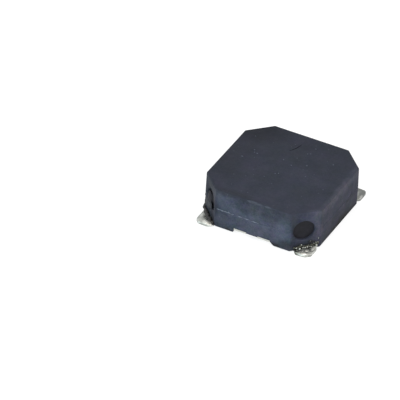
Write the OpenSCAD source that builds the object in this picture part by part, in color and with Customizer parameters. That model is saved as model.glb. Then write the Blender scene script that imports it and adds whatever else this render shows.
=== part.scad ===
// Side-sounding surface-mount magnetic buzzer, in millimetres.
// +Z is up from the board, +Y is the side that the sound leaves by, and the
// origin is under the middle of the body, on the solder pads' lower faces.

/* [Body] */
// Width of the body along X
body_w = 8.5; // [8.3:0.1:12]
// Length of the body along Y
body_l = 8.5; // [8.3:0.1:12]
// Overall height, from the pads' lower faces to the top
body_h = 3; // [2.8:0.05:4.2]
// How far each corner is cut back along X and along Y
corner_cut = 1.5; // [1.3:0.05:1.8]
// Rounding of the body's upright edges
edge_r = 0.15; // [0.12:0.01:0.25]
// Rounding of the edge round the top
top_r = 0.12; // [0.05:0.01:0.12]
// Rounding of the edge round the underside
foot_r = 0.08; // [0.03:0.01:0.12]
// Height of the underside above the pads' lower faces
standoff = 0.05; // [0:0.01:0.1]
// Bevel on both sides of the joint between base and cover
seam_bevel = 0.015; // [0.01:0.005:0.06]
// How far the cover's walls lean in on their way up, and the base's on their way down
draft = 0.02; // [0:0.005:0.04]

/* [Cover] */
// Thickness of the cover's top
roof_t = 0.4; // [0.3:0.05:0.6]

/* [Sound slot] */
// Width of the slot in the back wall
slot_w = 2.82; // [2:0.02:3.6]
// Height of the lip on the base's rim in the slot
lip_h = 0.08; // [0.04:0.01:0.15]
// Length of that lip
lip_w = 0.95; // [0.5:0.05:1.5]
// Offset of that lip from the middle of the slot
lip_x = 0.22; // [-0.4:0.02:0.4]
// Thickness of that lip
lip_t = 0.12; // [0.08:0.01:0.2]
// Distance of that lip from the back face
lip_set = 0.08; // [0.05:0.01:0.15]

/* [Corner openings] */
// Diameter of the round opening in each corner face
opening_d = 1.5; // [1.2:0.05:1.7]
// Height of its centre
opening_z = 1.6; // [1.5:0.05:2]
// How far its centre lies off the face's middle, towards the front or the back
opening_shift = 0.1; // [0:0.01:0.15]
// Depth of the opening
opening_depth = 0.5; // [0.35:0.05:0.55]
// Bevel round the opening's mouth
mouth_bevel = 0.04; // [0.01:0.01:0.06]
// How far the resin's rim stops short of the corner face
seal_inset = 0.2; // [0.1:0.01:0.25]
// How much deeper the resin lies in the opening's middle than at its rim
seal_dish = 0.06; // [0.02:0.01:0.08]

/* [Solder terminals] */
// Thickness of the terminals' sheet
terminal_t = 0.2; // [0.15:0.01:0.25]
// Width of a terminal
pad_w = 1.5; // [1.2:0.05:1.7]
// How far the pad's flat reaches in under the corner face
pad_seat = 0.39; // [0.3:0.01:0.5]
// Rounding of the pad's outer corner
pad_corner_r = 0.3; // [0.1:0.05:0.45]
// Height that the terminal steps up by inside the base
terminal_rise = 0.2; // [0.15:0.01:0.22]
// Angle of each of that step's two bends
bend_angle = 60; // [50:1:70]
// Plastic between a live terminal's inner end and the yoke plate
live_gap = 0.25; // [0.15:0.01:0.28]
// How far the dummy terminals reach in from the corner face
dummy_reach = 1.25; // [1.2:0.05:1.4]
// Hole in a dummy terminal that the plastic locks into
lock_hole_d = 0.3; // [0.2:0.05:0.35]

/* [Yoke plate] */
// Thickness of the yoke plate
yoke_t = 0.24; // [0.18:0.01:0.28]
// How far the yoke plate reaches out past the magnet
yoke_rim = 0.2; // [0.1:0.01:0.25]
// Height of the plate's lower face
yoke_z = 0.38; // [0.33:0.01:0.42]
// Width of a tie tab
tab_w = 0.9; // [0.6:0.05:1.1]
// Distance between the middles of two neighbouring tie tabs
tab_pitch = 1.74; // [1.5:0.02:2]
// Length of a tie tab's lowered end
tab_l = 0.7; // [0.5:0.05:0.8]
// How far a tab's end is pressed down and out thin below its arm
tab_drop = 0.09; // [0.06:0.01:0.22]
// How far the pressed end reaches up into the arm
tab_root = 0.04; // [0.02:0.01:0.1]
// Rounding of the tab's inner corners
tab_corner_r = 0.2; // [0.05:0.05:0.3]
// Room round the tie tabs in the base's edge pocket
tab_room = 0.1; // [0.1:0.05:0.3]
// Plastic left under the tie tabs' arms in that pocket
tab_skin = 0.05; // [0.02:0.01:0.1]
// How far the pocket's left end slopes outwards
pocket_draft = 0.05; // [0.05:0.01:0.2]
// Length of the curved ramp at the pocket's right end
pocket_ramp = 0.45; // [0.2:0.05:0.6]
// Diameter of the two tool holes that show the plate
tool_hole_d = 0.8; // [0.5:0.05:1]
// Distance of a tool hole from the middle
tool_hole_x = 2.7; // [2.4:0.05:2.8]

/* [Magnet, core and coil] */
// Outer diameter of the ring magnet
magnet_d = 6.2; // [5.6:0.05:6.3]
// Thickness of the ring magnet
magnet_t = 0.6; // [0.45:0.05:0.7]
// Bevel round the upper edges of the ring magnet and the pole core
edge_break = 0.05; // [0.02:0.01:0.08]
// Gap between the ring magnet and the diaphragm
magnet_gap = 0.1; // [0.05:0.01:0.15]
// Diameter of the pole core
core_d = 1.2; // [1:0.05:1.6]
// Gap between the pole core and the diaphragm
air_gap = 0.1; // [0.05:0.01:0.15]
// Outer diameter of the winding
coil_d = 3.8; // [3:0.05:4.6]
// Bevel round the winding's upper edge
coil_edge = 0.08; // [0.04:0.01:0.12]
// How far the winding stops below the core's top
coil_step = 0.05; // [0:0.01:0.1]
// Diameter of the winding's leads
lead_d = 0.08; // [0.05:0.01:0.1]
// Radius of the bend where a lead turns outwards under the winding
lead_bend_r = 0.07; // [0.06:0.01:0.08]
// How far in from the winding's outside the leads leave it
lead_inset = 0.16; // [0.12:0.01:0.3]
// Diameter of the well where a lead meets its terminal
well_d = 0.8; // [0.7:0.05:0.85]
// Diameter of the solder joint in the well
joint_d = 0.6; // [0.5:0.02:0.64]
// Height of the solder joint
joint_h = 0.22; // [0.2:0.01:0.3]

/* [Diaphragm] */
// Width of the seat that carries the diaphragm's rim
seat_w = 0.45; // [0.3:0.05:0.5]
// Thickness of the diaphragm
diaphragm_t = 0.05; // [0.03:0.01:0.08]
// Diameter of the armature disc on it
armature_d = 2.6; // [2:0.1:4]
// Thickness of the armature disc
armature_t = 0.12; // [0.08:0.01:0.2]
// Depth of the diaphragm's seat below the joint
seat_depth = 0.18; // [0.12:0.01:0.22]
// Height of the locating ring above the joint
ring_h = 0.2; // [0.1:0.05:0.3]
// Wall of the locating ring
ring_wall = 0.2; // [0.15:0.01:0.25]

/* [Clearances] */
// Radial room round the magnet, the diaphragm and the core
drop_in_gap = 0.05; // [0.02:0.01:0.08]
// Radial room between the locating ring and the cover
cover_gap = 0.03; // [0.02:0.01:0.05]
// Radial room between the winding and the ring magnet
coil_room = 0.2; // [0.1:0.05:0.3]
// Room round a lead in the groove that takes it out under the magnet
lead_room = 0.03; // [0.01:0.01:0.04]

/* [Hidden] */

// Sides of a corner: -1 is left or front, 1 is right or back
front_left = [-1, -1];
front_right = [1, -1];
back_left = [-1, 1];
back_right = [1, 1];

moulding = "#3b3e4a";
moulding_base = "#40434f";
resin = "#26262c";
tin = "#c4c4bd";
iron = "#9fa1a3";
copper = "#b4622e";
magnet_grey = "#84868a";
steel = "#b9bbbf";

// Facets: small rounds, the rounds inside a hull, and the large turned parts
$fn = 64;
hull_fn = 32;
fine_fn = 128;

// Steps of the roundings round the top and the foot, in degrees
top_step = 22.5;
foot_step = 30;
// Steps of the pocket's ramp, as shares of its length
ramp_step = 0.25;

// Thickness of a slice in a hull, how far a cut runs past a face, and past everything
skin = 0.01;
past = 1;
far = 20;

// Heights, from the board up: plate, magnet, diaphragm's seat, joint, chamber's roof
yoke_top = yoke_z + yoke_t;
seat_z = yoke_top + magnet_t + magnet_gap;
seam_z = seat_z + seat_depth;
roof_z = body_h - roof_t;
core_top = seat_z - air_gap;
coil_h = core_top - yoke_top - coil_step;
land_top = terminal_rise + terminal_t;

// Diameters, from the winding outwards
magnet_bore_d = coil_d + 2 * coil_room;
magnet_pocket_d = magnet_d + 2 * drop_in_gap;
yoke_d = magnet_d + 2 * yoke_rim;
diaphragm_d = magnet_pocket_d + 2 * seat_w;
ring_id = diaphragm_d + 2 * drop_in_gap;
ring_od = ring_id + 2 * ring_wall;
chamber_d = ring_id;

// Middle radius of the terminal's bends, and the length that its step takes up
bend_mid_r = terminal_rise / (2 * (1 - cos(bend_angle)));
step_run = 2 * bend_mid_r * sin(bend_angle);

// How far from the middle the corner faces lie. The live terminals reach in from there
// as far as the yoke plate lets them, and the solder joint sits in the middle of the inner flat
corner_face_r = ((body_w + body_l) / 2 - corner_cut) / sqrt(2);
live_reach = corner_face_r - yoke_d / 2 - live_gap;
joint_inset = (pad_seat + step_run + live_reach) / 2;
joint_ball_r = (pow(joint_d / 2, 2) + joint_h * joint_h) / (2 * joint_h);

// A lead leaves the winding downwards, bends once and runs out under the magnet
lead_z = yoke_top - lead_bend_r;
lead_start_r = coil_d / 2 - lead_inset;
groove_depth = lead_bend_r + lead_d / 2 + lead_room;
groove_w = lead_d + 2 * lead_room;

// Where the pad's two outer edges would meet, out from the corner face
pad_tip = corner_cut / sqrt(2);
pocket_wall = body_l / 2 - tab_l - tab_room / 2;

// Radius of the resin's hollow, which meets the opening's wall at the resin's rim
seal_ball_r = (pow(opening_d / 2, 2) + seal_dish * seal_dish) / (2 * seal_dish);

// The cut corner's middle, seen from above, for a corner given by its two signs
function corner_mid(side) = [
    side.x * (body_w - corner_cut) / 2,
    side.y * (body_l - corner_cut) / 2
];
function corner_angle(side) = atan2(side.y, side.x);
function joint_place(side) = corner_mid(side) - joint_inset * side / norm(side);

// Corners of the body's outline moved inwards by d
function outline(d) =
    let (
        x = body_w / 2 - d,
        y = body_l / 2 - d,
        cut = corner_cut - d * (2 - sqrt(2))
    )
    [
        [x - cut, -y], [x, cut - y], [x, y - cut], [x - cut, y],
        [cut - x, y], [-x, y - cut], [-x, cut - y], [cut - x, -y]
    ];

// Thin slices of the outline, moved in by the inset, with corners of radius r. Their upper face is at z
module outline_slice(z, inset, r) {
    for (p = outline(edge_r + inset))
        translate([p.x, p.y, z - skin])
            cylinder(r = r, h = skin, $fn = hull_fn);
}

// Puts a corner's own frame in place: +X outwards from the cut face, +Z up
module at_corner(side) {
    mid = corner_mid(side);
    translate([mid.x, mid.y, 0])
        rotate(corner_angle(side))
            children();
}

// Puts a round opening's own frame in place: +Z outwards, from the opening's floor
module in_opening(side) {
    at_corner(side)
        translate([-opening_depth, side.x * side.y * opening_shift, opening_z])
            rotate([0, 90, 0])
                children();
}

// The round opening in each corner face, through both the cover and the base
module corner_openings() {
    for (side = [front_left, front_right, back_left, back_right])
        in_opening(side) {
            cylinder(d = opening_d, h = opening_depth + past);
            translate([0, 0, opening_depth - mouth_bevel])
                cylinder(d1 = opening_d, d2 = opening_d + 2 * (mouth_bevel + past), h = mouth_bevel + past);
        }
}

// The cover's outer form: leaning in to the top, rounded round it, bevelled at the joint
module cover_shell() {
    hull() {
        outline_slice(seam_z + skin, 0, edge_r - seam_bevel);
        outline_slice(seam_z + seam_bevel + skin, 0, edge_r);
        for (a = [0:top_step:90])
            outline_slice(body_h - top_r * (1 - sin(a)), draft, edge_r - top_r * (1 - cos(a)));
    }
}

// The base's outer form: leaning in to the foot, rounded round it, bevelled at the joint
module base_shell() {
    hull() {
        for (a = [0:foot_step:90])
            outline_slice(
                standoff + skin + (foot_r - skin) * (1 - sin(a)),
                draft,
                edge_r - foot_r * (1 - cos(a))
            );
        outline_slice(seam_z - seam_bevel, 0, edge_r);
        outline_slice(seam_z, 0, edge_r - seam_bevel);
    }
}

module cover() {
    color(moulding)
        difference() {
            cover_shell();
            translate([0, 0, seam_z - past])
                cylinder(d = chamber_d, h = roof_z - seam_z + past, $fn = fine_fn);
            translate([0, 0, seam_z - past])
                cylinder(d = ring_od + 2 * cover_gap, h = ring_h + cover_gap + past, $fn = fine_fn);
            slot_way(seam_z - past);
            corner_openings();
        }
}

// One edge pocket of the underside, on the front edge: steep at its left end,
// with a ramp at its right end that runs out into the underside
module edge_pocket() {
    right = (tab_pitch + tab_w) / 2;
    left = -right - tab_room / 2;
    ceiling = yoke_z - tab_skin;
    foot = left - pocket_draft;
    translate([0, -pocket_wall, 0])
        rotate([90, 0, 0])
            linear_extrude(far)
                polygon([
                    [foot, -far], [foot, standoff], [left, ceiling],
                    for (t = [0:ramp_step:1])
                        [right + pocket_ramp * t, standoff + (ceiling - standoff) * pow(1 - t, 2)],
                    [right + pocket_ramp, -far]
                ]);
}

// Turns a piece so that +X points from the middle at a live terminal's solder joint
module towards_joint(side) {
    place = joint_place(side);
    rotate(atan2(place.y, place.x))
        children();
}

// The grooves that take the leads out under the magnet, from the winding to the wells
module lead_grooves() {
    for (side = [front_left, front_right])
        towards_joint(side)
            translate([lead_start_r - groove_w / 2, -groove_w / 2, yoke_top - groove_depth])
                cube([norm(joint_place(side)) - lead_start_r, groove_w, past]);
}

// The sound slot's way out, from z up to the chamber's roof
module slot_way(z) {
    translate([-slot_w / 2, 0, z])
        cube([slot_w, far, roof_z - z]);
}

// Small lip that stands on the base's rim in the slot
module slot_lip() {
    translate([lip_x - lip_w / 2, body_l / 2 - lip_set - lip_t, seam_z - lip_h])
        cube([lip_w, lip_t, 2 * lip_h]);
}

// The tray as moulded, before what lies in it and passes through it is cut out
module base_blank() {
    base_shell();
    difference() {
        translate([0, 0, seat_z])
            cylinder(d = ring_od, h = seat_depth + ring_h, $fn = fine_fn);
        slot_way(seam_z);
    }
    slot_lip();
}

module base() {
    color(moulding_base)
        difference() {
            base_blank();
            translate([0, 0, seat_z])
                cylinder(d = ring_id, h = far, $fn = fine_fn);
            translate([0, 0, yoke_top])
                cylinder(d = magnet_pocket_d, h = far, $fn = fine_fn);
            for (side = [front_left, front_right]) {
                place = joint_place(side);
                translate([place.x, place.y, land_top])
                    cylinder(d = well_d, h = far);
                terminal(side, live_reach, 0);
            }
            for (side = [back_left, back_right])
                terminal(side, dummy_reach, lock_hole_d);
            for (x = [-tool_hole_x, tool_hole_x])
                translate([x, 0, -past])
                    cylinder(d = tool_hole_d, h = yoke_z + past);
            edge_pocket();
            mirror([0, 1, 0])
                edge_pocket();
            lead_grooves();
            yoke_blank();
            corner_openings();
        }
}

// One tie tab: its arm in the plastic, and its end pressed thin and down into the edge pocket
module tie_tab() {
    arm_end = body_l / 2 - tab_l + yoke_t;
    end_t = tab_drop + tab_root;
    translate([-tab_w / 2, 0, yoke_z])
        cube([tab_w, arm_end, yoke_t]);
    translate([0, body_l / 2 - tab_l, yoke_z - tab_drop]) {
        translate([-tab_w / 2, tab_corner_r, 0])
            cube([tab_w, tab_l - tab_corner_r, end_t]);
        translate([-tab_w / 2 + tab_corner_r, 0, 0])
            cube([tab_w - 2 * tab_corner_r, tab_l, end_t]);
        for (x = [tab_corner_r - tab_w / 2, tab_w / 2 - tab_corner_r])
            translate([x, tab_corner_r, 0])
                cylinder(r = tab_corner_r, h = end_t);
    }
}

// The stamped plate before it is grooved and takes the core
module yoke_blank() {
    translate([0, 0, yoke_z])
        cylinder(d = yoke_d, h = yoke_t, $fn = fine_fn);
    for (x = [-tab_pitch / 2, tab_pitch / 2])
        translate([x, 0, 0]) {
            tie_tab();
            mirror([0, 1, 0])
                tie_tab();
        }
}

module yoke_plate() {
    color(iron)
        difference() {
            yoke_blank();
            translate([0, 0, yoke_z - past])
                cylinder(d = core_d, h = far);
            lead_grooves();
        }
}

// A turned ring or pin from radius r1 to r2, with its outer upper edge bevelled
module turned(r1, r2, h, edge) {
    rotate_extrude($fn = fine_fn)
        polygon([[r1, 0], [r2, 0], [r2, h - edge], [r2 - edge, h], [r1, h]]);
}

module pole_core() {
    color(iron)
        translate([0, 0, yoke_z])
            turned(0, core_d / 2, core_top - yoke_z, edge_break);
}

module coil() {
    color(copper)
        translate([0, 0, yoke_top])
            turned(core_d / 2 + drop_in_gap, coil_d / 2, coil_h, coil_edge);
}

module ring_magnet() {
    color(magnet_grey)
        translate([0, 0, yoke_top])
            turned(magnet_bore_d / 2, magnet_d / 2, magnet_t, edge_break);
}

module diaphragm() {
    color(steel)
        translate([0, 0, seat_z])
            cylinder(d = diaphragm_d, h = diaphragm_t, $fn = fine_fn);
}

module armature_disc() {
    color(steel)
        translate([0, 0, seat_z + diaphragm_t])
            cylinder(d = armature_d, h = armature_t, $fn = fine_fn);
}

module coil_lead(side) {
    reach = norm(joint_place(side)) - lead_start_r - lead_bend_r;
    color(copper)
        towards_joint(side)
            translate([lead_start_r + lead_bend_r, 0, 0]) {
                translate([0, 0, yoke_top])
                    rotate([90, 0, 0])
                        rotate(180)
                            rotate_extrude(angle = 90)
                                translate([lead_bend_r, 0])
                                    circle(d = lead_d);
                translate([0, 0, lead_z])
                    rotate([0, 90, 0])
                        cylinder(d = lead_d, h = reach);
            }
}

module solder_joint(side) {
    place = joint_place(side);
    color(tin)
        difference() {
            translate([place.x, place.y, land_top])
                intersection() {
                    translate([0, 0, joint_h - joint_ball_r])
                        sphere(r = joint_ball_r);
                    cylinder(r = joint_ball_r, h = joint_h + past);
                }
            coil_lead(side);
        }
}

// One bend of a sheet, about the Y axis, from an angle in the XZ plane
module sheet_bend(from) {
    rotate([90, 0, 0])
        rotate(from)
            rotate_extrude(angle = bend_angle)
                translate([bend_mid_r - terminal_t / 2, -pad_w / 2])
                    square([terminal_t, pad_w]);
}

// Flat pad, a step up into the base, and the flat that the plastic holds
module terminal(side, reach, hole_d) {
    corner = pad_corner_r / sqrt(2);
    step_end = pad_seat + step_run;
    color(tin)
        at_corner(side)
            difference() {
                union() {
                    linear_extrude(terminal_t)
                        polygon([
                            [-pad_seat, -pad_w / 2], [pad_tip - pad_w / 2, -pad_w / 2],
                            [pad_tip - corner, -corner], [pad_tip - corner, corner],
                            [pad_tip - pad_w / 2, pad_w / 2], [-pad_seat, pad_w / 2]
                        ]);
                    translate([pad_tip - pad_corner_r * sqrt(2), 0, 0])
                        cylinder(r = pad_corner_r, h = terminal_t);
                    translate([-pad_seat, 0, terminal_t / 2 + bend_mid_r])
                        sheet_bend(270 - bend_angle);
                    translate([-step_end, 0, terminal_t / 2 + terminal_rise - bend_mid_r])
                        sheet_bend(90 - bend_angle);
                    translate([-step_end, -pad_w / 2, terminal_rise])
                        mirror([1, 0, 0])
                            cube([reach - step_end, pad_w, terminal_t]);
                }
                if (hole_d > 0)
                    translate([-(reach + step_end) / 2, 0, 0])
                        cylinder(d = hole_d, h = far);
            }
}

module corner_seal(side) {
    color(resin)
        in_opening(side)
            difference() {
                cylinder(d = opening_d, h = opening_depth - seal_inset + past);
                translate([0, 0, opening_depth - seal_inset - seal_dish + seal_ball_r])
                    sphere(r = seal_ball_r, $fn = fine_fn);
            }
}

cover();
base();
yoke_plate();
pole_core();
coil();
coil_lead(front_left);  // coil_lead_plus
coil_lead(front_right);  // coil_lead_minus
solder_joint(front_left);  // solder_joint_plus
solder_joint(front_right);  // solder_joint_minus
ring_magnet();
diaphragm();
armature_disc();
terminal(front_left, live_reach, 0);  // plus_terminal
terminal(front_right, live_reach, 0);  // minus_terminal
terminal(back_left, dummy_reach, lock_hole_d);  // dummy_terminal_left
terminal(back_right, dummy_reach, lock_hole_d);  // dummy_terminal_right
corner_seal(front_left);  // front_left_seal
corner_seal(front_right);  // front_right_seal
corner_seal(back_left);  // back_left_seal
corner_seal(back_right);  // back_right_seal
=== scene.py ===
import bpy
import bmesh
import math
import random
from mathutils import Matrix, Vector, noise


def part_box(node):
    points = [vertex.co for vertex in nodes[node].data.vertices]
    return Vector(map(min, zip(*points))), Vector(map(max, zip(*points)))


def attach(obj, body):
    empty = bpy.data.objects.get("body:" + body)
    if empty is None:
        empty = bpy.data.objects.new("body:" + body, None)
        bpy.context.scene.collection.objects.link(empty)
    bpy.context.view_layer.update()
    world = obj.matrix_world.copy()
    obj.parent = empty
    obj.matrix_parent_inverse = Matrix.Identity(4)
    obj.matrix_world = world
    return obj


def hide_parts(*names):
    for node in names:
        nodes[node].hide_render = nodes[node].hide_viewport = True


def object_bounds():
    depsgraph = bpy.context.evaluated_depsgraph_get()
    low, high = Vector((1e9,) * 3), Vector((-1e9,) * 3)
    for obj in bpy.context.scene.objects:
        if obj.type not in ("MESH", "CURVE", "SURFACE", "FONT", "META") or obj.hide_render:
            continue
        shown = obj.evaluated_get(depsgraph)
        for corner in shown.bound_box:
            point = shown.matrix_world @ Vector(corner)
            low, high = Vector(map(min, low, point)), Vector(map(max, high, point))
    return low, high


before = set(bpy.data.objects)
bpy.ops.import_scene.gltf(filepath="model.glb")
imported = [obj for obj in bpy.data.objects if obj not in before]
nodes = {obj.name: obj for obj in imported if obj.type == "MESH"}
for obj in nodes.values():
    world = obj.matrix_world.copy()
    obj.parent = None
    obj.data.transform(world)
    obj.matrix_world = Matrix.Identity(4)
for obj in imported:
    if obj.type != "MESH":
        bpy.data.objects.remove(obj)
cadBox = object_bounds()
mm = 0.001
print("buzzer: the packed solids are in")


def linearColour(hexText):
    # sRGB hex, as a colour picker shows it, to the linear values the shaders use
    parts = [int(hexText[i:i + 2], 16) / 255 for i in (1, 3, 5)]
    return [v / 12.92 if v <= 0.04045 else ((v + 0.055) / 1.055) ** 2.4 for v in parts] + [1]


def addNode(tree, kind, settings):
    # a setting is one of the node's properties, a value for a socket, or another node's socket
    node = tree.nodes.new("ShaderNode" + kind)
    for name, value in settings.items():
        if isinstance(name, str) and hasattr(node, name):
            setattr(node, name, value)
        elif isinstance(value, bpy.types.NodeSocket):
            tree.links.new(value, node.inputs[name])
        else:
            node.inputs[name].default_value = value
    return node


def mixColours(tree, factor, first, second):
    # sockets 6 and 7 and output 2 are the Mix node's colours
    return addNode(tree, "Mix", {"data_type": "RGBA", "Factor": factor, 6: first, 7: second}).outputs[2]


def addObject(name, data):
    # puts a new object with the given mesh, curve, lamp or camera in the scene
    made = bpy.data.objects.new(name, data)
    bpy.context.scene.collection.objects.link(made)
    return made


def fromAzimuth(azimuth, elevation, distance):
    # a place round the buzzer: azimuth 0 is in front of it, elevation is above the board
    a, e = math.radians(azimuth), math.radians(elevation)
    return Vector((math.sin(a) * math.cos(e), -math.cos(a) * math.cos(e), math.sin(e))) * distance


camera = {
    "aim": (-4.004, -3.985, 1.548),   # mm, a point on the line of sight
    "distance": 301,         # mm
    "azimuth": 26.18,        # degrees, like the next two
    "elevation": 36.3,
    "roll": 2.66,
    "lens": 414,             # mm
    "sensor": 36,            # mm
    "nearest": 10,           # mm, nothing nearer is drawn
    "farthest": 10000,       # mm, and nothing farther
}
cameraData = bpy.data.cameras.new("camera")
cameraData.lens = camera["lens"]
cameraData.sensor_width = camera["sensor"]
cameraData.clip_start = camera["nearest"] * mm
cameraData.clip_end = camera["farthest"] * mm
cameraObject = addObject("camera", cameraData)
bpy.context.scene.camera = cameraObject
cameraObject.matrix_world = (
    Matrix.Translation(Vector(camera["aim"]) * mm
                       + fromAzimuth(camera["azimuth"], camera["elevation"], camera["distance"] * mm))
    @ Matrix.Rotation(math.radians(camera["azimuth"]), 4, "Z")
    @ Matrix.Rotation(math.radians(90 - camera["elevation"]), 4, "X")
    @ Matrix.Rotation(math.radians(camera["roll"]), 4, "Z")
)
bpy.context.scene.view_settings.view_transform = "Standard"

stage = {
    "floorRadius": 600,      # mm
    "floorSides": 64,
    "floorDrop": 0.002,      # mm under the pads, so that the two don't share a plane
    "floorWhite": "#e8e8e8",
    "shadowShare": 0.35,     # how much of the lamps' light the floor shows, which is its shadow's depth
    "floorGlow": 0.78,       # the rest of the floor's white
    "ambient": 0.4,          # the world's light on the buzzer
}


def seenDirectly(tree):
    # 1 for the camera and in mirror-like surfaces, 0 where light is gathered from the surroundings
    path = addNode(tree, "LightPath", {})
    either = addNode(tree, "Math", {"operation": "MAXIMUM", 0: path.outputs["Is Camera Ray"],
                                    1: path.outputs["Is Glossy Ray"]})
    return addNode(tree, "Math", {"operation": "MAXIMUM", 0: either.outputs[0],
                                  1: path.outputs["Is Transmission Ray"]}).outputs[0]


world = bpy.data.worlds.new("whiteSweep")
bpy.context.scene.world = world
world.use_nodes = True
world.node_tree.nodes.clear()
strength = addNode(world.node_tree, "MapRange", {
    "Value": seenDirectly(world.node_tree), "To Min": stage["ambient"], "To Max": 1})
background = addNode(world.node_tree, "Background", {"Strength": strength.outputs[0]})
background.inputs["Color"].default_value = (1, 1, 1, 1)
addNode(world.node_tree, "OutputWorld", {"Surface": background.outputs[0]})

floorMesh = bpy.data.meshes.new("floor")
shape = bmesh.new()
bmesh.ops.create_circle(shape, cap_ends=True, segments=stage["floorSides"],
                        radius=stage["floorRadius"] * mm)
bmesh.ops.translate(shape, verts=shape.verts, vec=(0, 0, cadBox[0].z - stage["floorDrop"] * mm))
shape.to_mesh(floorMesh)
shape.free()
floor = addObject("floor", floorMesh)

floorPaper = bpy.data.materials.new("whiteSweepPaper")
floorPaper.use_nodes = True
tree = floorPaper.node_tree
tree.nodes.clear()
matt = addNode(tree, "BsdfDiffuse", {"Color": linearColour(stage["floorWhite"])})
dimmed = addNode(tree, "BsdfDiffuse", {
    "Color": [v * stage["shadowShare"] for v in linearColour(stage["floorWhite"])[:3]] + [1]})
glow = addNode(tree, "Emission", {"Strength": stage["floorGlow"]})
shown = addNode(tree, "AddShader", {0: dimmed.outputs[0], 1: glow.outputs[0]})
upper = addNode(tree, "MixShader", {0: seenDirectly(tree), 1: matt.outputs[0], 2: shown.outputs[0]})
clear = addNode(tree, "BsdfTransparent", {})
under = addNode(tree, "NewGeometry", {})    # seen from below, the floor is clear, to show the pads
shadow = addNode(tree, "LightPath", {})     # and it lets the lamp below it through
through = addNode(tree, "Math", {"operation": "MAXIMUM", 0: under.outputs["Backfacing"],
                                 1: shadow.outputs["Is Shadow Ray"]})
both = addNode(tree, "MixShader", {0: through.outputs[0], 1: upper.outputs[0], 2: clear.outputs[0]})
addNode(tree, "OutputMaterial", {"Surface": both.outputs[0]})
floorMesh.materials.append(floorPaper)

# azimuth, elevation, distance and size in mm, level (1 shows a white card as white), colour
lamps = {
    "overhead": (20, 80, 260, 220, 0.38, "#fff8f4"),
    "frontSoftbox": (-12, 12, 260, 500, 1.26, "#e6f8ff"),
    "rightSoftbox": (95, 12, 260, 400, 0.55, "#fff6fb"),
    "leftSoftbox": (-110, 15, 260, 400, 0.4, "#ffffff"),
    "belowSoftbox": (0, -80, 260, 160, 0.36, "#ffffff"),    # shines through the floor
}
for name, (azimuth, elevation, distance, size, level, colour) in lamps.items():
    lampData = bpy.data.lights.new(name, "AREA")
    lampData.shape = "DISK"
    lampData.size = size * mm
    lampData.energy = level * math.pi ** 2 * (distance ** 2 + (size / 2) ** 2) * mm ** 2
    lampData.color = linearColour(colour)[:3]
    lamp = addObject(name, lampData)
    lamp.location = fromAzimuth(azimuth, elevation, distance * mm)
    lamp.rotation_euler = lamp.location.to_track_quat("Z", "Y").to_euler()
print("buzzer: camera, floor and lamps are set")

body = {
    "cornerMiddle": 3.5,     # mm from the middle to a corner face's middle, along X and along Y
    "front": -4.25,          # mm, the front face
    "top": 3,                # mm
    "joint": 1.5,            # mm, where base and cover meet
}
frontLeft, frontRight = (-1, -1), (1, -1)
weld = {"node": 0.0005, "cutter": 0.0001}       # mm, points nearer than this are merged


def atCorner(side, along, out, up):
    # a place in mm at a corner: along its face to the right as seen from outside, out from it, and up
    outwards = Vector((side[0], side[1], 0)).normalized()
    rightwards = Vector((-outwards.y, outwards.x, 0))
    middle = Vector((side[0], side[1], 0)) * body["cornerMiddle"]
    return middle + rightwards * along + outwards * out + Vector((0, 0, up))


def newMaterial(name):
    # an empty node material, its tree, and the place on the object that patterns follow
    material = bpy.data.materials.new(name)
    material.use_nodes = True
    material.node_tree.nodes.clear()
    place = addNode(material.node_tree, "TexCoord", {}).outputs["Object"]
    return material, material.node_tree, place


def addPiece(name, mesh, material, replaced=None):
    # a visible piece that rides on the buzzer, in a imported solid's stead if one is named
    piece = addObject(name, mesh)
    mesh.materials.append(material)
    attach(piece, "root")
    if replaced:
        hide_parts(replaced)
    return piece


def takeNode(name):
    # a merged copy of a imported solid's mesh, in mm
    shape = bmesh.new()
    shape.from_mesh(nodes[name].data)
    bmesh.ops.scale(shape, vec=(1 / mm, 1 / mm, 1 / mm), verts=shape.verts)
    bmesh.ops.remove_doubles(shape, verts=shape.verts, dist=weld["node"])
    return shape


def baked(source):
    # the mesh that an object's modifiers or curve make; the object goes
    bpy.context.view_layer.update()
    mesh = bpy.data.meshes.new_from_object(source.evaluated_get(bpy.context.evaluated_depsgraph_get()))
    bpy.data.objects.remove(source)
    return mesh


def finishMesh(name, shape):
    # a bmesh worked in mm becomes a smooth-shaded mesh in metres
    bmesh.ops.recalc_face_normals(shape, faces=shape.faces)
    bmesh.ops.scale(shape, vec=(mm, mm, mm), verts=shape.verts)
    for face in shape.faces:
        face.smooth = True
    mesh = bpy.data.meshes.new(name)
    shape.to_mesh(mesh)
    shape.free()
    return mesh


def addLump(shape, place, size):
    # a drop of solder or resin: a ball pressed to its half sizes along X, Y and Z
    ball = bmesh.ops.create_icosphere(shape, subdivisions=3, radius=1)["verts"]
    bmesh.ops.scale(shape, vec=size, verts=ball)
    bmesh.ops.translate(shape, vec=place, verts=ball)
    return ball


def roughen(shape, settings):
    # pushes a skin's points in and out by noise
    for vert in shape.verts:
        vert.co += vert.normal * settings["unevenness"] * noise.noise(vert.co / settings["lumpSize"])


def melt(shape, settings):
    # runs overlapping forms together into one skin, rounds it off and makes it uneven
    rough = addObject("rough", bpy.data.meshes.new("rough"))
    shape.to_mesh(rough.data)
    remesh = rough.modifiers.new("melt", "REMESH")
    remesh.mode = "VOXEL"
    remesh.voxel_size = settings["voxel"]
    smooth = rough.modifiers.new("smooth", "SMOOTH")
    smooth.iterations = settings["smoothing"]
    shape.clear()
    shape.from_mesh(baked(rough))
    roughen(shape, settings)


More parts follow.
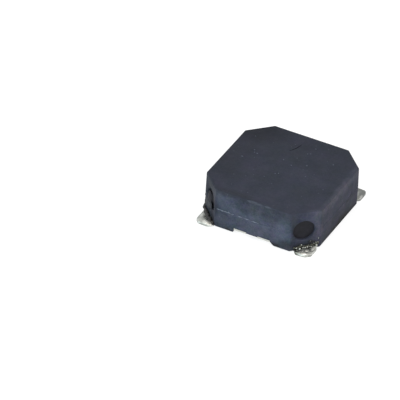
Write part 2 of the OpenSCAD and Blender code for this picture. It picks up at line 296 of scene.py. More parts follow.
mouldedPlastic = {
    "colours": ("#292c35", "#2b2e38", "#2c2e39"),   # cool, plain and warm patches of the black
    "patch": 2.4,            # mm across a patch
    "scuff": 1.1,            # mm across the largest scuffs, with smaller ones in them
    "scuffDepth": (3, 1.3),  # how far scuffs lighten and darken the sides and the top
    "scuffTurn": (0.1, 0.01),        # mm below the top between which the one gives way to the other
    "hueShare": 0.3,         # how far scuffs change the hue too
    "grain": 0.09,           # mm, the spark-eroded tool's grain, drawn coarse enough to show
    "grainDepth": 0.01,      # mm
    "grainStrength": 0.35,
    "speck": 0.5,            # mm between the pale specks of filler
    "speckSize": (0.05, 0.09),       # shares of that, from a speck's middle to its edge
    "speckColour": "#50545d",
    "speckStrength": 0.4,
    "roughness": 0.65,
    "specular": 0.1,
    "waver": 0.3,            # mm that the marks' outlines stray
    # marks, many of them painted light and shade: place and half sizes in mm, colour, strength, turn in
    # degrees
    "marks": (
        ((-2.0, -4.25, 2.25), (1.5, 0.8, 1.3), "#3b414d", 0.6, 0),      # paler, left end of the front
        ((2.3, -4.25, 1.5), (0.9, 0.8, 1.3), "#3b424e", 0.7, 0),        # paler, its right end
        ((0.3, -4.25, 2.5), (1.8, 0.5, 0.6), "#363943", 0.55, 0),       # a little paler between them
        ((0, -4.25, 0.8), (4.4, 0.8, 0.9), "#3a3e4a", 0.65, 0),         # the base's paler front
        ((0.2, -4.25, 1.6), (3.4, 0.6, 0.75), "#3f4450", 0.6, 0),       # paler along the joint
        ((2.5, -4.25, 0.5), (0.8, 0.5, 0.7), "#24262c", 0.8, 0),        # darker at the base's right end
        ((0, 4.6, 3), (7, 5, 1), "#1f2228", 0.4, 0),                    # darker towards the back of the top
        ((-5, -0.5, 3), (4.2, 5.5, 1), "#24262d", 0.8, 0),              # and towards its left side
        ((-3.6, 3.4, 3), (3, 2.5, 1), "#1c1e24", 0.9, 0),               # and at its left back corner
        ((-1.8, -4.1, 3), (2.4, 0.6, 0.3), "#202228", 0.6, 0),          # and along its front edge
        ((-3.5, -3.5, 1.7), (2.2, 0.3, 2.8), "#1f2229", 1.0, -45),      # painted shade on the front left corner face
        ((-2.9, -3.8, 1.5), (0.2, 0.3, 0.8), "#4c505a", 1.0, -45),      # painted light on the shaded wall of its opening
        ((2.95, -4.1, 1.3), (0.3, 0.5, 1.9), "#23262d", 0.8, 0),        # painted shade along the edge left of the front right opening
        ((4.15, -2.95, 1.6), (0.5, 0.5, 1.5), "#404149", 0.7, 0),       # painted highlight on the corner right of it
        ((3.75, -3.25, 2.6), (1.1, 0.3, 0.8), "#3b3f4a", 0.5, 45),      # and a painted highlight above it
        ((4.25, 0, 2.8), (0.4, 5, 0.7), "#3e4049", 0.8, 0),             # painted highlight along the top edge of the right face
        ((4.25, -0.2, 0.8), (0.4, 2.4, 0.75), "#24262d", 0.7, 0),       # painted shade at the foot of the right face
        ((4.25, 0, 0.1), (0.3, 4.2, 0.55), "#17181b", 1.0, 0),          # more painted shade along its bottom edge
        ((4.25, 0.4, 0.1), (0.3, 1.6, 0.75), "#121315", 0.8, 0),
        ((4.25, 1.2, 1.35), (0.3, 0.5, 0.2), "#1f2126", 0.9, 0),        # grime in the joint, right face
        ((-1.75, -4.25, 0.12), (0.45, 0.3, 0.25), "#17181b", 1.0, 0),   # darker at the foot, front face
        ((1.6, -4.25, 0.15), (0.6, 0.3, 0.25), "#1a1b1f", 0.9, 0),
        ((-3.1, -3.95, 0.3), (0.9, 0.5, 0.6), "#17181b", 0.9, 0),       # darker low round the live pads
        ((3.5, -3.5, 0.3), (1.3, 0.9, 0.5), "#1b1c1d", 0.9, 0),
        ((3.85, -3.15, 0.6), (0.4, 0.2, 0.22), "#1b1b17", 0.8, 45),     # flux burnt on above the front pad
    ),
}


patchEdge = (0.35, 0.65)     # values of noise between which one patch of a material turns into the next
marking = {
    "fade": 0.8,             # share of a mark's half size over which it fades in
    "strayLength": 4,        # one stray of its outline is this many times as long as wide
}


def addMarks(tree, place, colour, marks, waver):
    # lays soft-edged marks over a colour, their outlines strayed by up to the given mm: centred noise
    # reaches half a unit either way, so it is taken twice
    strays = addNode(tree, "TexNoise", {"Vector": place, "Detail": 3,
                                        "Scale": 1 / (marking["strayLength"] * waver * mm)})
    centred = addNode(tree, "VectorMath", {"operation": "SUBTRACT", 0: strays.outputs["Color"],
                                           1: (0.5, 0.5, 0.5)})
    strayed = addNode(tree, "VectorMath", {"operation": "MULTIPLY_ADD", 0: centred.outputs[0],
                                           1: [2 * waver * mm] * 3, 2: place})
    for spot, size, hexText, level, turn in marks:
        local = addNode(tree, "Mapping", {"vector_type": "TEXTURE", "Vector": strayed.outputs[0],
                                          "Location": Vector(spot) * mm, "Scale": Vector(size) * mm,
                                          "Rotation": (0, 0, math.radians(turn))})
        fade = addNode(tree, "TexGradient", {"gradient_type": "SPHERICAL", "Vector": local.outputs[0]})
        edge = addNode(tree, "MapRange", {"Value": fade.outputs["Fac"], "From Max": marking["fade"],
                                          "To Max": level, "interpolation_type": "SMOOTHSTEP"})
        colour = mixColours(tree, edge.outputs[0], colour, linearColour(hexText))
    return colour


def plasticMaterial(name):
    # glass-filled black moulding: a dull bluish black with cloudy patches, a fine grain and pale specks
    material, tree, place = newMaterial(name)
    patches = addNode(tree, "TexNoise", {"Vector": place, "Scale": 1 / (mouldedPlastic["patch"] * mm),
                                         "Detail": 2, "Roughness": 0.5})
    tint = addNode(tree, "ValToRGB", {"Fac": patches.outputs["Fac"]})
    ramp = tint.color_ramp
    ramp.elements[0].position, ramp.elements[1].position = patchEdge
    ramp.elements[0].color = linearColour(mouldedPlastic["colours"][0])
    ramp.elements[1].color = linearColour(mouldedPlastic["colours"][2])
    ramp.elements.new(0.5).color = linearColour(mouldedPlastic["colours"][1])
    marked = addMarks(tree, place, tint.outputs["Color"], mouldedPlastic["marks"], mouldedPlastic["waver"])

    scuffs = addNode(tree, "TexNoise", {"Vector": place, "Scale": 1 / (mouldedPlastic["scuff"] * mm),
                                        "Detail": 5, "Roughness": 0.95})
    hues = mixColours(tree, mouldedPlastic["hueShare"], scuffs.outputs["Fac"], scuffs.outputs["Color"])
    centred = addNode(tree, "VectorMath", {"operation": "SUBTRACT", 0: hues, 1: (0.5, 0.5, 0.5)})
    height = addNode(tree, "SeparateXYZ", {"Vector": place})
    depth = addNode(tree, "MapRange", {"Value": height.outputs["Z"],
                                       "From Min": (body["top"] - mouldedPlastic["scuffTurn"][0]) * mm,
                                       "From Max": (body["top"] - mouldedPlastic["scuffTurn"][1]) * mm,
                                       "To Min": mouldedPlastic["scuffDepth"][0],
                                       "To Max": mouldedPlastic["scuffDepth"][1]})
    shade = addNode(tree, "VectorMath", {"operation": "MULTIPLY_ADD", 0: centred.outputs[0],
                                         1: depth.outputs[0], 2: (1, 1, 1)})
    colour = addNode(tree, "VectorMath", {"operation": "MULTIPLY", 0: marked, 1: shade.outputs[0]}).outputs[0]

    grain = addNode(tree, "TexNoise", {"Vector": place, "Scale": 1 / (mouldedPlastic["grain"] * mm),
                                       "Detail": 2, "Roughness": 0.6})
    bump = addNode(tree, "Bump", {"Height": grain.outputs["Fac"],
                                  "Strength": mouldedPlastic["grainStrength"],
                                  "Distance": mouldedPlastic["grainDepth"] * mm})
    cells = addNode(tree, "TexVoronoi", {"Vector": place, "Scale": 1 / (mouldedPlastic["speck"] * mm)})
    specks = addNode(tree, "MapRange", {"Value": cells.outputs["Distance"],
                                        "From Min": mouldedPlastic["speckSize"][0],
                                        "From Max": mouldedPlastic["speckSize"][1],
                                        "To Min": mouldedPlastic["speckStrength"], "To Max": 0})
    speckled = mixColours(tree, specks.outputs[0], colour, linearColour(mouldedPlastic["speckColour"]))
    surface = addNode(tree, "BsdfPrincipled", {
        "Base Color": speckled, "Roughness": mouldedPlastic["roughness"],
        "Specular IOR Level": mouldedPlastic["specular"], "Normal": bump.outputs[0]})
    addNode(tree, "OutputMaterial", {"Surface": surface.outputs[0]})
    return material


def unevenMaterial(name, colours, patch, metallic, roughness, specular, bumpDepth):
    # two colours in patches of the given size in mm, with the roughness and the height following them
    material, tree, place = newMaterial(name)
    patches = addNode(tree, "TexNoise", {"Vector": place, "Scale": 1 / (patch * mm), "Detail": 3,
                                         "Roughness": 0.6})
    tint = addNode(tree, "MapRange", {"Value": patches.outputs["Fac"], "From Min": patchEdge[0],
                                      "From Max": patchEdge[1]})
    colour = mixColours(tree, tint.outputs[0], linearColour(colours[0]), linearColour(colours[1]))
    rough = addNode(tree, "MapRange", {"Value": tint.outputs[0], "To Min": roughness[0],
                                       "To Max": roughness[1]})
    bump = addNode(tree, "Bump", {"Height": patches.outputs["Fac"], "Strength": 0.5,
                                  "Distance": bumpDepth * mm})
    surface = addNode(tree, "BsdfPrincipled", {
        "Base Color": colour, "Metallic": metallic, "Roughness": rough.outputs[0],
        "Specular IOR Level": specular, "Normal": bump.outputs[0]})
    addNode(tree, "OutputMaterial", {"Surface": surface.outputs[0]})
    return material


tinnedSolder = {
    "colours": ("#bdbeb8", "#94958f"),
    # flux burnt on where a pad meets the body, darkened further as painted shade of that dark corner face
    "fluxAndShade": "#3a3a30",
    "fluxAndShadeShare": 0.9,       # its strength against the corner face
    "fluxAndShadeReach": 0.07,      # mm out from that face
    "fluxAndShadeAbove": (0.06, 0.14),      # mm over the board between which it starts, so none is underneath
    "ragged": 0.5,           # mm that its edge strays
    "frost": 0.3,            # mm across a frosted patch
    "frostEdge": (0.4, 0.6), # values of noise between which sheet turns frosted
    "roughness": (0.28, 0.5),
    "waver": 0.1,            # mm that the marks' outlines stray
    # dull and bright places, most of them painted shade and highlights: place and half sizes in mm, colour,
    # strength, turn in degrees
    "marks": (
        ((-3.9, -3.7, 0.2), (1.3, 1.3, 0.8), "#8b8d89", 1.0, 0),    # front left, darkened as painted shade
        ((-3.4, -4.3, 0.2), (0.25, 0.25, 0.3), "#b9bab5", 1.0, 0),  # its front side kept bright, a painted highlight
        ((4.1, 3.9, 0.2), (1.5, 1.5, 0.8), "#717371", 1.0, 0),      # back right, darkened as painted shade
        ((4.2, 3.4, 0.2), (0.12, 0.3, 0.3), "#a8a9a5", 1.0, 0),     # a painted highlight on its rim
        ((3.25, -4.25, 0.1), (0.45, 0.3, 0.3), "#66675f", 1.0, 0),  # flux on the front right, darkened further as painted shade
        ((3.6, -4.0, 0.2), (0.15, 0.25, 0.3), "#d8d9d4", 1.0, 0),   # a painted highlight beside it
        ((3.85, -3.55, 0.2), (0.4, 0.25, 0.3), "#b4b5af", 1.0, 45), # the clean rest of that pad
    ),
}


def tinnedMaterial(name):
    # hot-tinned sheet: shiny grey-white with dull patches, stained by flux and darkened with painted shade
    # where it meets the body
    material, tree, place = newMaterial(name)
    frost = addNode(tree, "TexNoise", {"Vector": place, "Scale": 1 / (tinnedSolder["frost"] * mm),
                                       "Detail": 3, "Roughness": 0.6})
    patchy = addNode(tree, "MapRange", {"Value": frost.outputs["Fac"],
                                        "From Min": tinnedSolder["frostEdge"][0],
                                        "From Max": tinnedSolder["frostEdge"][1]})
    clean = mixColours(tree, patchy.outputs[0], linearColour(tinnedSolder["colours"][0]),
                       linearColour(tinnedSolder["colours"][1]))
    # |x| + |y| grows straight out from each of the four corner faces
    apart = addNode(tree, "SeparateXYZ", {"Vector": place})
    sizes = [addNode(tree, "Math", {"operation": "ABSOLUTE", 0: apart.outputs[axis]}) for axis in "XY"]
    both = addNode(tree, "Math", {"operation": "ADD", 0: sizes[0].outputs[0], 1: sizes[1].outputs[0]})
    ragged = addNode(tree, "Math", {"operation": "MULTIPLY_ADD", 0: frost.outputs["Fac"],
                                    1: tinnedSolder["ragged"] * mm, 2: both.outputs[0]})
    # where the ragged sum is at the corner face, in mm
    face = 2 * body["cornerMiddle"] + tinnedSolder["ragged"] / 2
    marked = addMarks(tree, place, clean, tinnedSolder["marks"], tinnedSolder["waver"])
    # the flux and the painted shade fade out from the corner face
    fluxAndShadeFade = addNode(tree, "MapRange", {
        "Value": ragged.outputs[0], "From Min": face * mm,
        "From Max": (face + tinnedSolder["fluxAndShadeReach"] * math.sqrt(2)) * mm,
        "To Min": tinnedSolder["fluxAndShadeShare"], "To Max": 0})
    upper = addNode(tree, "MapRange", {"Value": apart.outputs["Z"],
                                       "From Min": tinnedSolder["fluxAndShadeAbove"][0] * mm,
                                       "From Max": tinnedSolder["fluxAndShadeAbove"][1] * mm})
    upperFluxAndShade = addNode(tree, "Math", {"operation": "MULTIPLY", 0: fluxAndShadeFade.outputs[0],
                                        1: upper.outputs[0]})
    colour = mixColours(tree, upperFluxAndShade.outputs[0], marked, linearColour(tinnedSolder["fluxAndShade"]))
    rough = addNode(tree, "MapRange", {"Value": patchy.outputs[0],
                                       "To Min": tinnedSolder["roughness"][0],
                                       "To Max": tinnedSolder["roughness"][1]})
    surface = addNode(tree, "BsdfPrincipled", {"Base Color": colour, "Metallic": 1,
                                               "Roughness": rough.outputs[0]})
    addNode(tree, "OutputMaterial", {"Surface": surface.outputs[0]})
    return material


mouldedCover = plasticMaterial("mouldedBlackCover")
mouldedBase = plasticMaterial("mouldedBlackBase")
# cast epoxy, dull from its cure
castResin = unevenMaterial(
    "castBlackEpoxy", ("#141418", "#1c1b20"), patch=0.4, metallic=0,
    roughness=(0.5, 0.65), specular=0.15, bumpDepth=0.01)
# the same where it ran out: crusted with dust, brownish in places
spiltResin = unevenMaterial(
    "spiltBlackEpoxy", ("#1c1c1f", "#33302e"), patch=0.3, metallic=0,
    roughness=(0.45, 0.65), specular=0.2, bumpDepth=0.01)
# and where it was wiped thin over the plastic
smearedResin = unevenMaterial(
    "smearedEpoxy", ("#1c1d21", "#2b2c31"), patch=0.3, metallic=0,
    roughness=(0.55, 0.7), specular=0.15, bumpDepth=0.006)
# burnt rosin flux: dark olive, glassy where it pooled
rosinFlux = unevenMaterial(
    "burntRosinFlux", ("#1c1c17", "#3b3a31"), patch=0.12, metallic=0,
    roughness=(0.45, 0.65), specular=0.25, bumpDepth=0.01)
hotTin = tinnedMaterial("hotTinnedSheet")
# bright solder, frozen in drops
solder = unevenMaterial(
    "reflowedSolder", ("#b4b5ad", "#8a8b84"), patch=0.12, metallic=1,
    roughness=(0.3, 0.45), specular=0.5, bumpDepth=0.002)
# a thin fin of plastic, whitened where it was bent
plasticFlash = unevenMaterial(
    "whitenedFlash", ("#353b46", "#666c78"), patch=0.25, metallic=0,
    roughness=(0.5, 0.7), specular=0.2, bumpDepth=0.004)
# bare plastic inside a scratch, in its own shade
scratchedPlastic = unevenMaterial(
    "scratchedPlastic", ("#14151b", "#1d1f26"), patch=0.1, metallic=0,
    roughness=(0.7, 0.9), specular=0.05, bumpDepth=0.004)
# plastic rubbed smooth on a knocked edge, made pale as a painted highlight
rubbedAndSheenPlastic = unevenMaterial(
    "rubbedAndSheenPlastic", ("#282c35", "#363b45"), patch=0.4, metallic=0,
    roughness=(0.5, 0.6), specular=0.2, bumpDepth=0.004)
# grains of dust and filler that stand out of the top
dust = unevenMaterial(
    "paleDust", ("#3c404b", "#525762"), patch=0.2, metallic=0,
    roughness=(0.7, 0.9), specular=0.1, bumpDepth=0.004)
# nickel-plated stampings and turned iron, evenly grey with a soft shine
platedIron = unevenMaterial(
    "platedIron", ("#c9c9c4", "#b7b7b1"), patch=0.3, metallic=1,
    roughness=(0.3, 0.4), specular=0.5, bumpDepth=0.003)
nickelPlate = unevenMaterial(
    "nickelPlate", ("#a9a7a0", "#9c9a93"), patch=0.5, metallic=1,
    roughness=(0.25, 0.35), specular=0.5, bumpDepth=0.002)
# rolled spring sheet, a little bluer and smoother
springSteel = unevenMaterial(
    "springSteel", ("#b9bbbf", "#a9acb2"), patch=0.6, metallic=1,
    roughness=(0.25, 0.32), specular=0.5, bumpDepth=0.001)
# enamelled wire: copper under clear varnish
enamelledCopper = unevenMaterial(
    "enamelledCopper", ("#b4622e", "#a2521f"), patch=0.3, metallic=1,
    roughness=(0.22, 0.35), specular=0.5, bumpDepth=0.001)

finishes = {
    "cover": mouldedCover, "base": mouldedBase, "yoke_plate": platedIron, "pole_core": platedIron,
    "coil": enamelledCopper, "coil_lead_plus": enamelledCopper, "coil_lead_minus": enamelledCopper,
    "solder_joint_plus": solder, "solder_joint_minus": solder, "ring_magnet": nickelPlate,
    "diaphragm": springSteel, "armature_disc": springSteel,
    "plus_terminal": hotTin, "minus_terminal": hotTin,
    "dummy_terminal_left": hotTin, "dummy_terminal_right": hotTin,
    "front_left_seal": castResin, "front_right_seal": castResin,
    "back_left_seal": castResin, "back_right_seal": castResin,
}
for name, material in finishes.items():
    nodes[name].data.materials.clear()
    nodes[name].data.materials.append(material)
print("buzzer: every solid has its finish")

coverWear = {
    # a scratch on the top, a bowed stroke
    "from": (-0.6, 2.1),     # mm
    "to": (-0.2, 3.2),       # mm
    "bow": 0.08,             # mm to its right at the middle
    "halfWidth": 0.032,      # mm where it is widest
    "ends": 0.35,            # share of that at its two ends
    "steps": 8,
    # dents along the top's front edge: place and half sizes in mm
    "dents": (((0.05, -4.26, 3.03), (0.8, 0.15, 0.15)), ((0.95, -4.27, 3.04), (0.55, 0.13, 0.13))),
    "voxel": 0.03,           # mm
    "smoothing": 1,
    "unevenness": 0.04,      # mm
    "lumpSize": 0.3,         # mm
    "sharpEdge": 28,         # degrees, past which an edge is shaded as one
}


def carve(shape, cutter, materials, cutNumber):
    # takes the cutter's form out of the shape; the cut's faces get the numbered material
    bmesh.ops.remove_doubles(cutter, verts=cutter.verts, dist=weld["cutter"])
    bmesh.ops.recalc_face_normals(cutter, faces=cutter.faces)
    for face in cutter.faces:
        face.material_index = cutNumber
    pair = []
    for source in (shape, cutter):
        mesh = bpy.data.meshes.new("carving")
        source.to_mesh(mesh)
        for material in materials:
            mesh.materials.append(material)
        pair.append(addObject("carving", mesh))
    cut = pair[0].modifiers.new("carve", "BOOLEAN")
    cut.operation = "DIFFERENCE"
    cut.solver = "EXACT"
    cut.material_mode = "INDEX"
    cut.object = pair[1]
    carved = baked(pair[0])
    bpy.data.objects.remove(pair[1])
    shape.clear()
    shape.from_mesh(carved)


def strokeCurve(name, unit, roundness, strokes):
    # round strokes through points: x, y, z and half width, the last in the given unit
    curve = bpy.data.curves.new(name, "CURVE")
    curve.dimensions = "3D"
    curve.bevel_depth = unit
    curve.bevel_resolution = roundness
    curve.use_fill_caps = True
    for stroke in strokes:
        spline = curve.splines.new("POLY")
        spline.points.add(len(stroke) - 1)
        for point, (x, y, z, halfWidth) in zip(spline.points, stroke):
            point.co = (x, y, z, 1)
            point.radius = halfWidth
    return curve


def scratchPoints():
    # a stroke that bows and swells towards its middle
    start = Vector(coverWear["from"])
    way = Vector(coverWear["to"]) - start
    side = Vector((way.y, -way.x)).normalized()
    points = []
    for number in range(coverWear["steps"] + 1):
        part = number / coverWear["steps"]
        swell = math.sin(math.pi * part)
        middle = start + way * part + side * coverWear["bow"] * swell
        width = coverWear["halfWidth"] * (coverWear["ends"] + (1 - coverWear["ends"]) * swell)
        points.append((middle.x, middle.y, body["top"], width))
    return points


scratchShape = bmesh.new()
scratchShape.from_mesh(baked(addObject("scratch", strokeCurve("scratch", 1, 1, [scratchPoints()]))))

dentShape = bmesh.new()
for place, size in coverWear["dents"]:
    addLump(dentShape, place, size)
melt(dentShape, coverWear)

shape = takeNode("cover")
coverMaterials = (mouldedCover, rubbedAndSheenPlastic, scratchedPlastic)
carve(shape, dentShape, coverMaterials, 1)
carve(shape, scratchShape, coverMaterials, 2)
coverPiece = addPiece("cover_worn", finishMesh("cover_worn", shape), mouldedCover,
                      "cover")
coverPiece.data.materials.append(rubbedAndSheenPlastic)
coverPiece.data.materials.append(scratchedPlastic)
coverPiece.data.set_sharp_from_angle(angle=math.radians(coverWear["sharpEdge"]))
evenShading = coverPiece.modifiers.new("evenShading", "WEIGHTED_NORMAL")     # keeps the flat faces flat
evenShading.keep_sharp = True
print("buzzer: the cover is scratched and dented")

winding = {
    "wire": 0.08,            # mm, enamelled
    "inside": 0.65,          # mm, its inner radius
    "arc": 140,              # degrees of each turn of wire that stand out of the profile
    "steps": 5,              # points along that arc
    "segments": 96,
}
low, high = [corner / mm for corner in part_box("coil")]
inside = winding["inside"]
outside = high.x
rings = [(outside - winding["wire"] / 2, low.z + winding["wire"] * (i + 0.5), 0)
         for i in range(int((high.z - low.z) / winding["wire"]))]
across = int((outside - inside) / winding["wire"]) - 1
rings += [(outside - winding["wire"] * (i + 1), high.z - winding["wire"] / 2, 90) for i in range(across)]
profile = [(inside, low.z), (outside - winding["wire"] / 2, low.z)]
for radius, up, start in rings:
    for step in range(winding["steps"]):
        turn = math.radians(start - winding["arc"] / 2 + winding["arc"] * step / (winding["steps"] - 1))
        profile.append((radius + math.cos(turn) * winding["wire"] / 2,
                        up + math.sin(turn) * winding["wire"] / 2))
profile.append((inside, profile[-1][1]))
shape = bmesh.new()
rim = [shape.verts.new((radius, 0, up)) for radius, up in profile]
for first, second in zip(rim, rim[1:] + rim[:1]):
    shape.edges.new((first, second))
bmesh.ops.spin(shape, geom=shape.verts[:] + shape.edges[:], cent=(0, 0, 0), axis=(0, 0, 1),
               angle=math.tau, steps=winding["segments"], use_merge=True)
addPiece("coil_winding", finishMesh("coil_winding", shape), enamelledCopper, "coil")
print("buzzer: the coil is wound")

tinnedTerminals = {
    "voxel": 0.025,          # mm
    "smoothing": 25,
    "unevenness": 0.03,      # mm
    "lumpSize": 0.5,         # mm
    # the solder on each pad, as drops: place and half sizes in mm
    "drops": {
        "plus_terminal": (((-3.5, -4.1, 0.1), (0.6, 0.42, 0.17)),
                          ((-3.7, -3.75, 0.13), (0.38, 0.5, 0.14)),
                          ((-3.15, -4.1, 0.1), (0.42, 0.4, 0.12)),
                          ((-3.5, -4.28, 0.04), (0.55, 0.27, 0.12))),
        "minus_terminal": (((3.6, -3.97, 0.12), (0.62, 0.36, 0.17)),
                           ((3.85, -3.75, 0.14), (0.36, 0.42, 0.14)),
                           ((3.95, -3.2, 0.18), (0.2, 0.55, 0.14)),
                           ((3.73, -3.77, 0.1), (0.33, 0.3, 0.24))),
        "dummy_terminal_left": (((-3.95, 3.75, 0.12), (0.36, 0.5, 0.13)),),
        "dummy_terminal_right": (((3.98, 3.65, 0.12), (0.3, 0.55, 0.14)),
                                 ((3.98, 4.1, 0.08), (0.2, 0.2, 0.1))),
    },
    # how far out the finished edge reaches: the direction's x and y, the distance in mm
    "reach": {
        "plus_terminal": ((-1, 0, 4.06), (-0.71, -0.71, 5.9), (0, -1, 4.47)),
        "minus_terminal": ((0.71, -0.71, 5.75), (1, 0, 4.18)),
        "dummy_terminal_left": (),
        "dummy_terminal_right": ((0, 1, 4.2),),
    },
    "give": 0.85,            # share of what lies past the reach that is pressed back
}
for name, drops in tinnedTerminals["drops"].items():
    shape = takeNode(name)
    for place, size in drops:
        addLump(shape, place, size)
    melt(shape, tinnedTerminals)
    for vert in shape.verts:
        for x, y, reach in tinnedTerminals["reach"][name]:
            past = max(x * vert.co.x + y * vert.co.y - reach, 0) * tinnedTerminals["give"]
            vert.co -= Vector((x, y, 0)) * past
        vert.co.z = max(vert.co.z, 0)       # the board's land flattened the solder below
    addPiece(name + "_tinned", finishMesh(name, shape), hotTin, name)
print("buzzer: the terminals are tinned")

# lengths in mm; drops on a corner face are along, out and up, then their half sizes the same way
fluxCrust = {
    "voxel": 0.018,
    "smoothing": 4,
    "unevenness": 0.05,
    "lumpSize": 0.1,
    "drops": (
        (-0.66, 0.03, 0.32, 0.16, 0.06, 0.09), (-0.38, 0.04, 0.33, 0.2, 0.07, 0.09),
        (-0.08, 0.03, 0.34, 0.2, 0.07, 0.08), (0.22, 0.03, 0.36, 0.2, 0.06, 0.08),
        (0.47, 0.02, 0.38, 0.16, 0.06, 0.1), (0.72, 0.02, 0.41, 0.14, 0.05, 0.12),
        (0.9, 0.01, 0.45, 0.1, 0.04, 0.1), (-0.28, 0.01, 0.46, 0.1, 0.04, 0.07),
    ),
}
solderGrains = {
    "voxel": 0.014,
    "smoothing": 3,
    "unevenness": 0.02,
    "lumpSize": 0.06,
    "drops": (
        (-0.6, 0.1, 0.34, 0.05, 0.04, 0.06), (-0.38, 0.14, 0.27, 0.08, 0.05, 0.06),
        (-0.14, 0.13, 0.31, 0.07, 0.04, 0.04), (0.0, 0.13, 0.32, 0.06, 0.04, 0.035),
        (0.14, 0.13, 0.34, 0.06, 0.04, 0.04), (0.27, 0.13, 0.34, 0.05, 0.04, 0.03),
        (0.4, 0.12, 0.31, 0.05, 0.04, 0.04), (-0.24, 0.04, 0.5, 0.035, 0.03, 0.04),
        (0.78, 0.09, 0.3, 0.06, 0.04, 0.14), (0.92, 0.01, 0.82, 0.035, 0.02, 0.035),
        (0.36, 0.02, 0.7, 0.025, 0.02, 0.02), (-0.3, 0.22, 0.24, 0.04, 0.03, 0.03),
        (0.6, 0.06, 0.5, 0.03, 0.02, 0.03), (0.74, 0.05, 0.55, 0.04, 0.03, 0.04),
        (0.88, 0.03, 0.52, 0.03, 0.03, 0.06), (-0.1, 0.08, 0.43, 0.03, 0.02, 0.02),
        (0.2, 0.09, 0.44, 0.03, 0.02, 0.02),
    ),
}
resinOverflow = {
    "voxel": 0.02,
    "smoothing": 10,
    "unevenness": 0.06,
    "lumpSize": 0.22,
    "drops": (
        (-1.0, -0.03, 1.15, 0.06, 0.05, 0.18), (-1.0, -0.02, 0.88, 0.07, 0.05, 0.2),
        (-0.93, -0.02, 0.6, 0.1, 0.05, 0.16), (-0.93, 0.0, 0.35, 0.12, 0.08, 0.16),
        (-0.85, 0.06, 0.24, 0.18, 0.12, 0.13), (-0.55, 0.1, 0.25, 0.2, 0.12, 0.13),
        (-0.25, 0.12, 0.25, 0.2, 0.13, 0.12), (0.05, 0.13, 0.23, 0.2, 0.14, 0.12),
        (0.35, 0.14, 0.2, 0.2, 0.13, 0.11), (0.65, 0.12, 0.18, 0.2, 0.12, 0.1),
        (0.92, 0.07, 0.16, 0.14, 0.08, 0.1),
    ),
}
resinSmear = {
    "voxel": 0.02,
    "smoothing": 6,
    "unevenness": 0.03,
    "lumpSize": 0.25,
    "drops": (
        (-0.8, -0.03, 0.95, 0.2, 0.06, 0.35), (-0.55, -0.03, 0.85, 0.3, 0.06, 0.4),
        (-0.3, -0.03, 0.85, 0.3, 0.06, 0.35), (-0.05, -0.07, 0.95, 0.25, 0.08, 0.3),
    ),
}
resinFill = {                # in the front left opening, fuller on its left
    "voxel": 0.02,
    "smoothing": 20,
    "unevenness": 0.02,
    "lumpSize": 0.25,
    "drops": (
        (-0.4, -0.14, 1.35, 0.4, 0.13, 0.55), (0.2, -0.34, 1.5, 0.66, 0.16, 0.76),
    ),
}


def cornerLumps(name, settings, side, material):
    # a piece of drops run together at a corner, pressed flat where they would sink into the board
    shape = bmesh.new()
    turn = Matrix.Rotation(math.atan2(side[1], side[0]), 3, "Z")
    for along, out, up, halfAlong, halfOut, halfUp in settings["drops"]:
        ball = addLump(shape, (0, 0, 0), (halfOut, halfAlong, halfUp))
        bmesh.ops.rotate(shape, verts=ball, matrix=turn)
        bmesh.ops.translate(shape, verts=ball, vec=atCorner(side, along, out, up))
    melt(shape, settings)
    for vert in shape.verts:
        vert.co.z = max(vert.co.z, 0)
    return addPiece(name, finishMesh(name, shape), material)


cornerLumps("flux_crust", fluxCrust, frontRight, rosinFlux)
cornerLumps("solder_grains", solderGrains, frontRight, solder)
cornerLumps("resin_overflow", resinOverflow, frontLeft, spiltResin)
cornerLumps("resin_smear", resinSmear, frontLeft, smearedResin)
cornerLumps("resin_fill", resinFill, frontLeft, castResin)
print("buzzer: flux, solder grains and spilt resin are on")

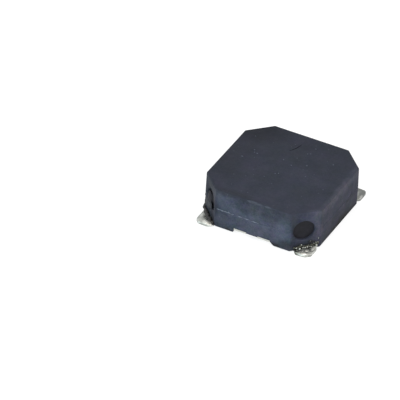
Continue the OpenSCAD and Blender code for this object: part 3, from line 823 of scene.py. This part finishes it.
# the fin that was pressed out of the joint: x, height off the joint and half width, in mm
jointFlash = {
    "proud": 0.01,           # mm in front of the front face
    "roundness": 2,
    "strands": (
        ((-2.62, 0.05, 0.02), (-2.5, 0.04, 0.032), (-2.35, 0.04, 0.03), (-2.24, 0.03, 0.038),
         (-2.08, 0.03, 0.026), (-1.95, 0.035, 0.032), (-1.82, 0.02, 0.014), (-1.65, 0.025, 0.028),
         (-1.5, 0.01, 0.026), (-1.36, 0.02, 0.012)),
        ((-1.2, 0.01, 0.01), (-1.05, 0.02, 0.024), (-0.9, 0.015, 0.02), (-0.75, 0.02, 0.008)),
        ((-0.6, 0.02, 0.01), (-0.42, 0.015, 0.03), (-0.3, 0.01, 0.016), (-0.15, 0, 0.012),
         (-0.02, 0, 0.03), (0.13, -0.005, 0.034), (0.3, 0, 0.02), (0.46, 0, 0.012)),
        ((1.15, 0.01, 0.004), (1.4, 0.02, 0.009), (1.7, 0.03, 0.007), (1.95, 0.04, 0.004)),
        ((-1.8, 0.1, 0.012), (-1.66, 0.04, 0.018), (-1.55, -0.04, 0.014), (-1.45, -0.08, 0.008)),
    ),
}
flashFront = (body["front"] - jointFlash["proud"]) * mm
flashStrokes = [[(x * mm, flashFront, (body["joint"] + offset) * mm, halfWidth)
                 for x, offset, halfWidth in strand] for strand in jointFlash["strands"]]
flashCurve = strokeCurve("joint_flash", mm, jointFlash["roundness"], flashStrokes)
addPiece("joint_flash", flashCurve, plasticFlash)
print("buzzer: the joint has its flash")

dustGrains = {
    "seed": 11,
    "count": 22,
    "radius": (0.03, 0.055), # mm
    "middle": (-0.3, 0.3),   # mm, about where most of them lie on the top
    "spread": 1.9,           # mm, how far they stray from there
    "edge": 5.9,             # mm, the most that x and y may add up to, so that none hangs over a corner
    "side": 3.9,             # mm, the most that either may be
    "breadth": 0.8,          # of the radius
    "flatness": 0.4,         # of the radius
    "unevenness": 0.02,      # mm
    "lumpSize": 0.04,        # mm
}
draw = random.Random(dustGrains["seed"])
shape = bmesh.new()
grainCount = 0
while grainCount < dustGrains["count"]:
    x = draw.gauss(dustGrains["middle"][0], dustGrains["spread"])
    y = draw.gauss(dustGrains["middle"][1], dustGrains["spread"])
    radius = draw.uniform(*dustGrains["radius"])
    if max(abs(x), abs(y)) > dustGrains["side"] or abs(x) + abs(y) > dustGrains["edge"]:
        continue
    addLump(shape, (x, y, body["top"]),
            (radius, radius * dustGrains["breadth"], radius * dustGrains["flatness"]))
    grainCount += 1
roughen(shape, dustGrains)
addPiece("dust_grains", finishMesh("dust_grains", shape), dust)
print("buzzer: dust is on the top")
